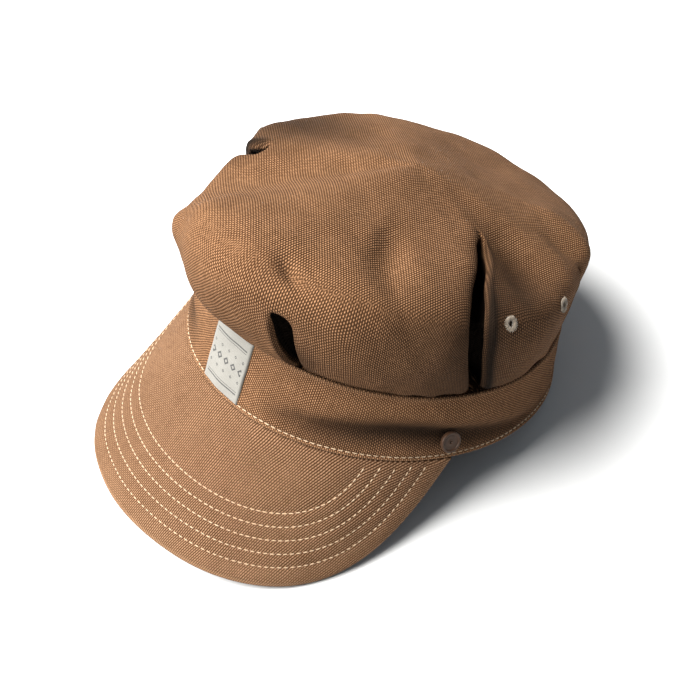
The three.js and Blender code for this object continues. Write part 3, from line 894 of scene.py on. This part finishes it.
index = band.grid(band_points, band_coords, wear=np.stack(row_wear), wrap=(round_length, 0))
band.bridge(index[-1], index[0], band_coords[-1], band_coords[0], wrap=(round_length, 0))
band.make("band_cloth", BAND_CANVAS, "canvas", ["band"])

# visor

ROW_FIRST = 9.5
ROW_STEP = 6.4
ROW_COUNT = 5
# quilting of the lower face against the upper one's; it swells the other way
UNDER_PUFF = -0.7


def visor_reach(across):
    return VISOR_LENGTH * (1 - np.abs(across) ** VISOR_CORNER_POWER) ** VISOR_CORNER_EASE


def visor_ways(across):
    """Where the visor leaves the hem, its way forward, its path, inwards, and slope."""
    across = np.asarray(across, float)
    bearing, zero = across * VISOR_HALF_ANGLE, np.zeros_like(across)
    root = on_oval(bearing, HEM_HALF_WIDTH, HEM_HALF_LENGTH, HEM_SHIFT, zero - CLEARANCE)
    forward = unit(on_oval(bearing, VISOR_FAN, VISOR_FAN, VISOR_FAN - 1, zero))
    slope = np.radians(VISOR_SLOPE + VISOR_DROOP * across * across)[..., None]
    down = np.array([0, 0, -1.0])
    path = forward * np.cos(slope) + down * np.sin(slope)
    inward = -forward * np.sin(slope) + down * np.cos(slope)
    return root, forward, path, inward, slope


def visor_flat(across, along):
    """The visor's flat pattern."""
    root, forward, _, _, _ = visor_ways(across)
    return root[..., :2] + forward[..., :2] * (visor_reach(across) * along)[..., None]


edge_line = visor_flat(np.sin(np.pi / 2 * np.linspace(-1, 1, 801)), np.ones(801))


def edge_distance(flat):
    """Distance of points of the flat pattern from the visor's edge."""
    start, span = edge_line[:-1], np.diff(edge_line, axis=0)
    shape = flat.shape[:-1]
    flat = flat.reshape(-1, 2)
    out = np.empty(len(flat))
    for k in range(0, len(flat), 4000):
        part = flat[k:k + 4000, None, :]
        t = np.clip(((part - start) * span).sum(-1) / np.maximum((span * span).sum(-1), 1e-9), 0, 1)
        out[k:k + 4000] = np.linalg.norm(part - start - t[..., None] * span, axis=-1).min(1)
    return out.reshape(shape)


def visor_puff(distance):
    """Height of the cloth between the rows of stitching."""
    last = ROW_FIRST + ROW_STEP * (ROW_COUNT - 1)
    rim = 0.80 * np.sqrt(np.clip(np.sin(np.pi * np.clip(distance / ROW_FIRST, 0, 1)), 0, 1))
    between = 0.50 * np.abs(np.sin(np.pi * (distance - ROW_FIRST) / ROW_STEP)) ** 0.7
    beyond = 0.50 * (1 - bell((distance - last) / 2.2))
    return np.where(distance < ROW_FIRST, rim, np.where(distance < last, between, beyond))


def visor_skin(across, along, depth, puff=1.0):
    root, forward, path, inward, slope = visor_ways(across)
    reach = visor_reach(across)[..., None]
    flush = (depth * (1 - np.minimum(1, along * 8)))[..., None]
    point = root + path * reach * along[..., None] + inward * np.asarray(depth)[..., None]
    point[..., 2] += (flush * np.cos(slope))[..., 0]
    distance = edge_distance(visor_flat(across, along))
    lift = visor_puff(distance) * np.minimum(1, along * 10) * puff
    lift = lift + layered(point, VISOR_WAVES) * np.minimum(1, along * 4)
    return point - inward * lift[..., None], distance


acrosses = np.sin(np.pi / 2 * np.linspace(-1, 1, 263))[1:-1]
alongs = np.concatenate([np.linspace(0, 0.10, 8)[:-1], np.linspace(0.10, 0.97, 92)])
A, L = np.meshgrid(acrosses, alongs)
upper, distance = visor_skin(A, L, np.zeros_like(A))
lower, _ = visor_skin(A, L, np.full_like(A, VISOR_THICKNESS), puff=UNDER_PUFF)
flat = visor_flat(A, L)
rim_wear = 0.9 * bell(distance / 1.6)
rim_wear += 0.16 * (visor_puff(distance) > 0.3) * bell((distance - 5) / 5)

# the rolled rim, from the upper face round to the lower
rim_rows, rim_coords = [], []
root, _, path, inward, _ = visor_ways(acrosses)
for turn in np.radians(np.arange(10, 180, 20)):
    along = np.full_like(acrosses, mix(0.97, 1.0, math.sin(turn)))
    depth = VISOR_THICKNESS / 2 * (1 - math.cos(turn))
    point = root + path * (visor_reach(acrosses) * along)[:, None] + inward * depth
    soft = layered(point, VISOR_WAVES[:1])
    rim_rows.append(point - inward * (0.1 * math.cos(turn) + soft)[:, None])
    rim_coords.append(visor_flat(acrosses, along + 0.02 * math.sin(turn / 2)))
visor = Cloth()
loop_points = np.concatenate([upper, np.stack(rim_rows), lower[::-1]])
loop_coords = np.concatenate([flat, np.stack(rim_coords), flat[::-1]])
rolled_wear = np.full((len(rim_rows), len(acrosses)), 0.9)
wears = np.concatenate([rim_wear, rolled_wear, rim_wear[::-1] * 0.7])
index = visor.grid(loop_points, loop_coords, wear=wears, flip=True)
visor.bridge(index[-1], index[0], loop_coords[-1], loop_coords[0], flip=True)
# the two ends of the loop
half = len(index) // 2
for column, flip in ((0, False), (-1, True)):
    side, side_coord = index[:, column], loop_coords[:, column]
    visor.bridge(side[:half], side[::-1][:half], side_coord[:half], side_coord[::-1][:half],
                 flip=flip)
visor.make("visor_cloth", VISOR_CANVAS, "canvas", ["visor"])

# stitches

STITCH_PITCH = 3.3
STITCH_LENGTH = 2.75
STITCH_RADIUS = 0.31


def stitch(cloth, centre, along, normal, length, radius, lift=0.12, sink=0.42):
    """One stitch: a short thread, bowed so that its ends go down into the cloth."""
    side = np.cross(normal, along)
    rings, around = 7, 7
    turn = np.arange(around) * 2 * math.pi / around
    ring = np.cos(turn)[:, None] * side + np.sin(turn)[:, None] * normal
    rows = []
    for i in range(rings):
        x = -math.cos(math.pi * (i + 0.35) / (rings - 0.3))
        size = radius * (1 - abs(x) ** 3.2) ** 0.45
        spine = centre + along * (x * length / 2) + normal * (lift - sink * x ** 4)
        rows.append(spine + ring * size)
    coords = np.stack(np.meshgrid(
        np.arange(rings) * length / rings, np.arange(around) / around, indexing="ij",
    ), -1)
    index = cloth.grid(np.array(rows), coords, wrap=(0, 1), flip=True)
    cloth.face(index[:1], coords[:1])
    cloth.face(index[-1:], coords[-1:], flip=True)


def stitch_line(cloth, points, normals, pitch, length, radius, seed, **bow):
    """Stitches at even steps along a line of points."""
    draw = np.random.RandomState(seed)
    arc = running(np.linalg.norm(np.diff(points, axis=0), axis=1))
    count = int(arc[-1] / pitch)
    for k in range(count):
        at = (k + 0.5) * pitch + draw.uniform(-0.12, 0.12)

        def along_line(offset):
            return np.array([np.interp(at + offset, arc, points[:, axis]) for axis in range(3)])

        normal = unit(np.array([np.interp(at, arc, normals[:, axis]) for axis in range(3)]))
        ahead, behind = along_line(length / 2), along_line(-length / 2)
        way = ahead - behind
        way = unit(way - normal * (way @ normal))
        way = unit(way + np.cross(normal, way) * draw.uniform(-0.05, 0.05))
        stitch(cloth, along_line(0), way, normal, length * draw.uniform(0.93, 1.05),
               radius * draw.uniform(0.92, 1.08), **bow)


# along the hem of the band
around = np.linspace(-180, 180, 1441)
share = np.full_like(around, HEM_ROW / BAND_HEIGHT)
hem_line = band_skin(around, share, np.full_like(around, HEM_ROW_SINK))
hem = Cloth()
stitch_line(hem, hem_line, band_normal(around, share), STITCH_PITCH, STITCH_LENGTH,
            STITCH_RADIUS, 41)
hem.make("band_stitches", THREAD, "thread", ["band"])

# rows on the visor, on both faces
fine_across = np.sin(np.pi / 2 * np.linspace(-0.997, 0.997, 601))
fine_along = np.linspace(0, 1, 181)
FA, FL = np.meshgrid(fine_across, fine_along)
fine_distance = edge_distance(visor_flat(FA, FL))
rows_mesh, under_mesh = Cloth(), Cloth()
for number in range(ROW_COUNT):
    target = ROW_FIRST + ROW_STEP * number
    line_across, line_along = [], []
    for j, across in enumerate(fine_across):
        column = fine_distance[:, j]
        if column[0] < target + 0.3:
            continue
        i = int(np.nonzero(column < target)[0][0])
        t = (column[i - 1] - target) / (column[i - 1] - column[i])
        line_across.append(across)
        line_along.append(mix(fine_along[i - 1], fine_along[i], t))
    line_across, line_along = np.array(line_across), np.array(line_along)
    for cloth, depth, puff, way in (
        (rows_mesh, 0.0, 1.0, -1), (under_mesh, VISOR_THICKNESS, UNDER_PUFF, 1),
    ):
        line, _ = visor_skin(line_across, line_along, np.full_like(line_across, depth), puff)
        inward = visor_ways(line_across)[3]
        stitch_line(cloth, line, way * inward, STITCH_PITCH * 0.93, STITCH_LENGTH * 0.92,
                    STITCH_RADIUS * 0.9, 50 + number, lift=0.16)
rows_mesh.make("visor_stitches", THREAD, "thread", ["visor"])
under_mesh.make("visor_under_stitches", THREAD, "thread", ["visor"])

# label

LABEL_WIDTH = 28.0
LABEL_THICKNESS = 0.7
LABEL_MARGIN = 2.5
# width of the label's rounded rim
LABEL_ROUND = 0.8
half_turn = LABEL_WIDTH / 2 / HEM_HALF_LENGTH * 180 / math.pi
label_bearings = np.linspace(-half_turn, half_turn, 57)
label_low, label_high = LABEL_MARGIN, BAND_HEIGHT - 0.4 * LABEL_MARGIN
label_heights = np.linspace(label_low, label_high, 65)
LB, LH = np.meshgrid(label_bearings, label_heights)
rim_u = 1 - np.abs(LB) / half_turn
rim_v = np.minimum(LH - label_low, label_high - LH)
rounding = 1 - (1 - np.clip(rim_u * LABEL_WIDTH / 2 / LABEL_ROUND, 0, 1)) ** 2
rounding = rounding * (1 - (1 - np.clip(rim_v / LABEL_ROUND, 0, 1)) ** 2)
soft = 0.12 * waves(np.stack([LB * 2, LH, LH * 0], -1), 61, 16)
lift = CLEARANCE + LABEL_THICKNESS * rounding + soft * rounding
front = band_skin(LB, LH / BAND_HEIGHT, np.zeros_like(LB))
out_way = band_normal(LB, LH / BAND_HEIGHT)
label_coords = np.stack([LB / half_turn * LABEL_WIDTH / 2, LH - label_low], -1)
label = Cloth()
face_index = label.grid(front + out_way * lift[..., None], label_coords)
back_index = label.grid(front + out_way * 0.12, label_coords, flip=True)
for edge, flip in (
    (np.s_[0], False), (np.s_[-1], True), (np.s_[:, 0], True), (np.s_[:, -1], False),
):
    run = label_coords[edge]
    label.bridge(back_index[edge], face_index[edge], run, run, flip=flip)
LABEL_TAPE = label_material(LABEL_WIDTH / 2, label_high - label_low)
label.make("label_tape", LABEL_TAPE, "woven_label", ["label"])

# buttons and eyelets

BUTTON_RADIUS = 5.25
BUTTON_THICKNESS = 2.6
BUTTON_BEARING = 74.0
BUTTON_HEIGHT = 10.8
BUTTON_SHANK = 1.1
# share of the radius, and depth below the top of the rim
BUTTON_FACE = (
    (0.96, 2.0), (1, 1.2), (0.985, 0.35), (0.93, 0.05), (0.86, 0), (0.79, 0.12), (0.74, 0.50),
    (0.66, 0.62), (0.58, 0.56), (0.50, 0.62), (0.34, 0.66), (0.24, 0.58), (0.18, 0.55),
    (0.13, 0.75), (0.08, 1.15),
)
BUTTON_TOP = BUTTON_THICKNESS + BUTTON_SHANK
BUTTON_PROFILE = [
    (0.001, BUTTON_SHANK), (BUTTON_RADIUS * 0.80, BUTTON_SHANK),
    *((BUTTON_RADIUS * share, BUTTON_TOP - depth) for share, depth in BUTTON_FACE),
    (0.001, BUTTON_TOP - 1.25),
]


def turned(cloth, seat, normal, profile, around):
    """A turned form: radius and height pairs, spun about the normal at the seat. Gives the two
    ways across the normal."""
    helper = np.array([0, 0, 1.0]) if abs(normal[2]) < 0.9 else np.array([1.0, 0, 0])
    side = unit(np.cross(helper, normal))
    other = np.cross(normal, side)
    turn = np.arange(around) * 2 * math.pi / around
    ring = np.cos(turn)[:, None] * side + np.sin(turn)[:, None] * other
    points = np.array([seat + ring * radius + normal * height for radius, height in profile])
    coords = np.stack(np.meshgrid(turn, np.arange(len(profile))), -1)
    cloth.grid(points, coords, wrap=(2 * math.pi, 0))
    return side, other


for hand, side in (("left", 1), ("right", -1)):
    bearing = np.array(BUTTON_BEARING * side)
    share = np.array(BUTTON_HEIGHT / BAND_HEIGHT)
    seat = band_point(bearing, share, 0.0)
    around_way = band_point(bearing + 2, share, 0) - band_point(bearing - 2, share, 0)
    up_way = band_point(bearing, share + 0.05, 0) - band_point(bearing, share - 0.05, 0)
    normal = unit(np.cross(around_way, up_way))
    button = Cloth()
    turned(button, seat, normal, smooth_line(BUTTON_PROFILE, 3), 56)
    button.make(f"button_{hand}_disc", RESIN, "button_resin", [f"button_{hand}"])

EYELET_RADIUS = 3.5
EYELET_STITCHES = 26
EYELET_THREAD_RADIUS = 0.25
inside = VENT_DIAMETER / 2
eyelet_profile = smooth_line([
    (inside + 0.35, -2.0), (inside + 0.20, -0.6), (inside + 0.12, 0.05), (inside + 0.35, 0.34),
    ((inside + EYELET_RADIUS) / 2, 0.42), (EYELET_RADIUS - 0.55, 0.30), (EYELET_RADIUS - 0.35, 0.0),
    (EYELET_RADIUS - 0.5, -0.6), (inside + 1.2, -1.6), (inside + 0.35, -2.0),
], 2)
for name, (seat, normal) in seats.items():
    ring_mesh = Cloth()
    side_way, other_way = turned(ring_mesh, seat, normal, eyelet_profile[::-1], 36)
    draw = np.random.RandomState(len(name))
    for k in range(EYELET_STITCHES):
        angle = 2 * math.pi * (k + draw.uniform(-0.2, 0.2)) / EYELET_STITCHES
        radial = math.cos(angle) * side_way + math.sin(angle) * other_way
        middle = (inside + EYELET_RADIUS) / 2 + draw.uniform(0.20, 0.50)
        length = (EYELET_RADIUS - inside) * draw.uniform(0.85, 1.15)
        stitch(ring_mesh, seat + radial * middle + normal * 0.35, radial, normal, length,
               EYELET_THREAD_RADIUS * draw.uniform(0.85, 1.15), lift=0.16, sink=0.5)
    ring_mesh.make(f"{name}_thread", EYELET_THREAD_WITH_PAINTED_SHADE, "thread", [name])

# floor, light and camera

# radii of the floor's rings, in metres
FLOOR_RINGS = (0.001, 0.5, 1.5, 3.0, 6.0)
turn = np.arange(96) * 2 * math.pi / 96
disc = np.array([[(radius * math.cos(t), radius * math.sin(t), 0) for t in turn]
                 for radius in FLOOR_RINGS])
mesh = bpy.data.meshes.new("studio_floor")
ring = np.arange(len(turn))
after = (ring + 1) % len(turn)
first_quads = np.stack([ring + len(turn), after + len(turn), after, ring], -1)
faces = np.concatenate([first_quads + k * len(turn) for k in range(len(FLOOR_RINGS) - 1)])
mesh.from_pydata(disc.reshape(-1, 3).tolist(), [], faces.tolist())
mesh.polygons.foreach_set("use_smooth", np.ones(len(mesh.polygons), bool))
mesh.materials.append(floor_material())
floor = new_object("studio_floor", mesh)

world = bpy.data.worlds.new("studio")
bpy.context.scene.world = world
world.use_nodes = True
background = world.node_tree.nodes["Background"]
background.inputs["Color"].default_value = (0.86, 0.93, 1.0, 1)
background.inputs["Strength"].default_value = 0.36

# The camera was found for the cap tipped by VIEW_TIP, and turns with it to its rest. Its focal
# length and the middle of its view are in pixels of a frame FRAME wide.
VIEW_TIP = 15.77
AZIMUTH, ELEVATION, DISTANCE = 51.25, 47.91, 0.9
FRAME, FOCAL, MIDDLE_ACROSS, MIDDLE_DOWN = 700, 1801.8, 375.5, 338.0
SENSOR = 36
az, el = math.radians(AZIMUTH), math.radians(ELEVATION)
extra = math.radians(REST_TIP - VIEW_TIP)
tilt_more = Matrix(tipped_by(extra))
towards = Vector((math.sin(az) * math.cos(el), -math.cos(az) * math.cos(el), math.sin(el)))
right = Vector((math.cos(az), math.sin(az), 0))
up = towards.cross(right)
towards, right, up = tilt_more @ towards, tilt_more @ right, tilt_more @ up

# The sun's azimuth is from the camera's right, anticlockwise seen from above
SUN_AZIMUTH, SUN_ELEVATION, SUN_WIDTH = 182, 50, 60
lamp = bpy.data.lights.new("key", "SUN")
lamp.energy, lamp.angle, lamp.color = 20.8, math.radians(SUN_WIDTH), (1.0, 0.985, 0.955)
sun = new_object("key", lamp)
a, e = math.radians(SUN_AZIMUTH + AZIMUTH), math.radians(SUN_ELEVATION)
sun.rotation_mode = "QUATERNION"
sun.rotation_quaternion = Vector((
    math.cos(a) * math.cos(e), math.sin(a) * math.cos(e), math.sin(e),
)).to_track_quat("Z", "Y")

camera_data = bpy.data.cameras.new("camera")
camera = new_object("camera", camera_data)
turn_matrix = Matrix((right, up, towards)).transposed().to_4x4()
turn_matrix.translation = Vector(PLACE / 1000) + towards * DISTANCE
camera.matrix_world = turn_matrix
camera_data.sensor_width = SENSOR
camera_data.lens = SENSOR * FOCAL / FRAME
camera_data.shift_x = (FRAME / 2 - MIDDLE_ACROSS) / FRAME
camera_data.shift_y = (MIDDLE_DOWN - FRAME / 2) / FRAME
camera_data.clip_start, camera_data.clip_end = 0.05, 50
bpy.context.scene.camera = camera
bpy.context.scene.view_settings.view_transform = "Standard"
